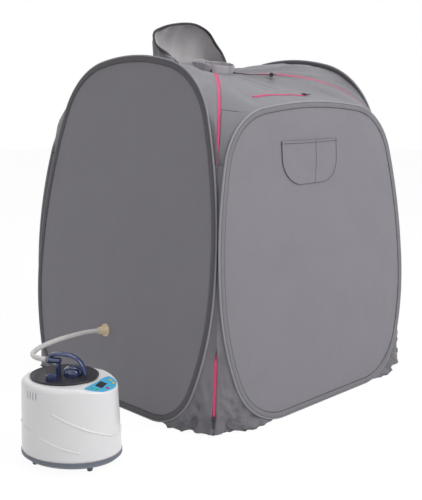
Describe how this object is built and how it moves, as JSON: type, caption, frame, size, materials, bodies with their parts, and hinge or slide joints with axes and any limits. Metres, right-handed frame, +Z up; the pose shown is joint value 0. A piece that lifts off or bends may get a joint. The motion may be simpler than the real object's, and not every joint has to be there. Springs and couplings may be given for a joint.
{
  "type": "portable steam sauna",
  "caption": "Pop-up fabric cabin for sitting in steam, with a zipped fold-down front, neck collar, hood and pocket, and a steamer joined to it by a hose.",
  "frame": {"origin": "on the floor, at the middle of the cabin's ground sheet", "axes": "+Z up, -Y towards the front with the zipped door, -X towards the steamer"},
  "size_m": [1.3479, 0.897, 1.106],
  "materials": {
    "spring_steel": "flat spring strip",
    "binding": "woven binding",
    "wall_cloth": "quilted coated cloth",
    "roof_cloth": "coated cloth",
    "ground_cloth": "coated cloth",
    "zip_tape": "woven tape and coil",
    "zip_metal": "painted",
    "cord": "braided",
    "black_plastic": "satin",
    "cream_plastic": "satin",
    "silicone": "translucent",
    "white_plastic": "gloss",
    "grey_plastic": "satin",
    "foot_rubber": "matt",
    "heater_steel": "plain",
    "black_gloss": "gloss",
    "navy_plastic": "clear tinted",
    "blue_plastic": "gloss",
    "display": "gloss",
    "button_red": "gloss",
    "button_green": "gloss",
    "button_yellow": "gloss"
  },
  "bodies": {
    "cabin": {"left_hoop": "spring_steel", "left_hoop_sleeve": "binding", "left_panel": "wall_cloth", "right_hoop": "spring_steel", "right_hoop_sleeve": "binding", "right_panel": "wall_cloth", "back_hoop": "spring_steel", "back_hoop_sleeve": "binding", "back_panel": "wall_cloth", "roof_cloth": "roof_cloth", "neck_collar": "roof_cloth", "front_left_gusset": "roof_cloth", "front_right_gusset": "roof_cloth", "rear_left_gusset": "roof_cloth", "rear_right_gusset": "roof_cloth", "floor_sheet": "ground_cloth", "left_zip_tape": "zip_tape", "right_zip_tape": "zip_tape", "hose_fitting": "cream_plastic", "steam_hose": "silicone", "steamer_shell": "white_plastic", "steamer_base": "grey_plastic", "steamer_feet": "foot_rubber", "water_tank": "grey_plastic", "heating_element": "heater_steel", "control_panel": "blue_plastic", "display_window": "display", "power_inlet": "black_plastic"},
    "door": {"front_hoop": "spring_steel", "front_hoop_sleeve": "binding", "front_panel": "wall_cloth", "pocket": "wall_cloth", "door_shoulder_left": "roof_cloth", "door_shoulder_right": "roof_cloth", "door_gusset_left": "roof_cloth", "door_gusset_right": "roof_cloth"},
    "flap": {"roof_flap": "roof_cloth", "collar_front": "roof_cloth", "hand_zip_tape": "zip_tape", "drawcord": "cord"},
    "bonnet": {"hood": "roof_cloth", "hood_rim": "binding"},
    "left_slider": {"left_zip_slider": "zip_metal"},
    "left_pull": {"left_zip_pull": "zip_metal"},
    "right_slider": {"right_zip_slider": "zip_metal"},
    "right_pull": {"right_zip_pull": "zip_metal"},
    "hand_slider": {"hand_zip_slider": "zip_metal"},
    "hand_pull": {"hand_zip_pull": "zip_metal"},
    "cord_lock": {"cord_lock_barrel": "black_plastic"},
    "cord_lock_button": {"cord_lock_plunger": "black_plastic"},
    "steamer_lid": {"lid": "black_gloss", "steam_dome": "navy_plastic", "lid_handle": "navy_plastic", "outlet_nozzle": "navy_plastic"},
    "cap": {"filler_cap": "navy_plastic"},
    "power_key": {"power_button": "button_red"},
    "heat_key": {"heat_button": "button_yellow"},
    "timer_key": {"timer_button": "button_yellow"},
    "less_key": {"less_button": "button_green"},
    "more_key": {"more_button": "button_green"}
  },
  "joints": [
    {"name": "door_swing", "type": "hinge", "parent": "cabin", "child": "door", "pos_m": [0, -0.4495, 0.0005], "axis": [1, 0, 0], "range_deg": [0, 90]},
    {"name": "roof_flap_fold", "type": "hinge", "parent": "door", "child": "flap", "pos_m": [0, -0.3673, 0.8658], "axis": [1, 0, 0], "range_deg": [0, 72]},
    {"name": "hood_tilt", "type": "hinge", "parent": "cabin", "child": "bonnet", "pos_m": [0, 0.214, 0.9645], "axis": [-1, 0, 0], "range_deg": [0, 60]},
    {"name": "left_zip_slide", "type": "slide", "parent": "cabin", "child": "left_slider", "axis": [0.053, 0.0015, 0.9986], "range_m": [0, 0.22]},
    {"name": "left_pull_swing", "type": "hinge", "parent": "left_slider", "child": "left_pull", "pos_m": [-0.42802, -0.40477, 0.04605], "axis": [-0.7071, 0.7071, 0], "range_deg": [0, 100]},
    {"name": "right_zip_slide", "type": "slide", "parent": "cabin", "child": "right_slider", "axis": [-0.053, 0.0015, 0.9986], "range_m": [0, 0.22]},
    {"name": "right_pull_swing", "type": "hinge", "parent": "right_slider", "child": "right_pull", "pos_m": [0.42802, -0.40477, 0.04605], "axis": [-0.7071, -0.7071, 0], "range_deg": [0, 100]},
    {"name": "hand_zip_slide", "type": "slide", "parent": "flap", "child": "hand_slider", "axis": [-0.9995, 0, 0.0325], "range_m": [0, 0.05]},
    {"name": "hand_pull_swing", "type": "hinge", "parent": "hand_slider", "child": "hand_pull", "pos_m": [0.06008, -0.29258, 0.88674], "axis": [-0.0075, -0.9728, -0.2317], "range_deg": [0, 110]},
    {"name": "cord_lock_slide", "type": "slide", "parent": "flap", "child": "cord_lock", "axis": [-0.6712, 0.741, 0.0188], "range_m": [0, 0.008]},
    {"name": "cord_lock_press", "type": "slide", "parent": "cord_lock", "child": "cord_lock_button", "axis": [0.7412, 0.6713, 0], "range_m": [0, 0.0025], "stiffness_N_per_m": 400},
    {"name": "lid_lift", "type": "slide", "parent": "cabin", "child": "steamer_lid", "axis": [0, 0, 1], "range_m": [0, 0.025]},
    {"name": "filler_cap_turn", "type": "hinge", "parent": "steamer_lid", "child": "cap", "pos_m": [-0.81218, -0.23702, 0.214], "axis": [0, 0, 1], "range_deg": [0, 90]},
    {"name": "power_press", "type": "slide", "parent": "cabin", "child": "power_key", "axis": [-0.1294, 0.2241, -0.9659], "range_m": [0, 0.0006], "stiffness_N_per_m": 600},
    {"name": "heat_press", "type": "slide", "parent": "cabin", "child": "heat_key", "axis": [-0.1294, 0.2241, -0.9659], "range_m": [0, 0.0006], "stiffness_N_per_m": 600},
    {"name": "timer_press", "type": "slide", "parent": "cabin", "child": "timer_key", "axis": [-0.1294, 0.2241, -0.9659], "range_m": [0, 0.0006], "stiffness_N_per_m": 600},
    {"name": "less_press", "type": "slide", "parent": "cabin", "child": "less_key", "axis": [-0.1294, 0.2241, -0.9659], "range_m": [0, 0.0006], "stiffness_N_per_m": 600},
    {"name": "more_press", "type": "slide", "parent": "cabin", "child": "more_key", "axis": [-0.1294, 0.2241, -0.9659], "range_m": [0, 0.0006], "stiffness_N_per_m": 600}
  ],
  "couplings": [
    {"joint": "roof_flap_fold", "follows": "door_swing", "ratio": 0.79}
  ]
}
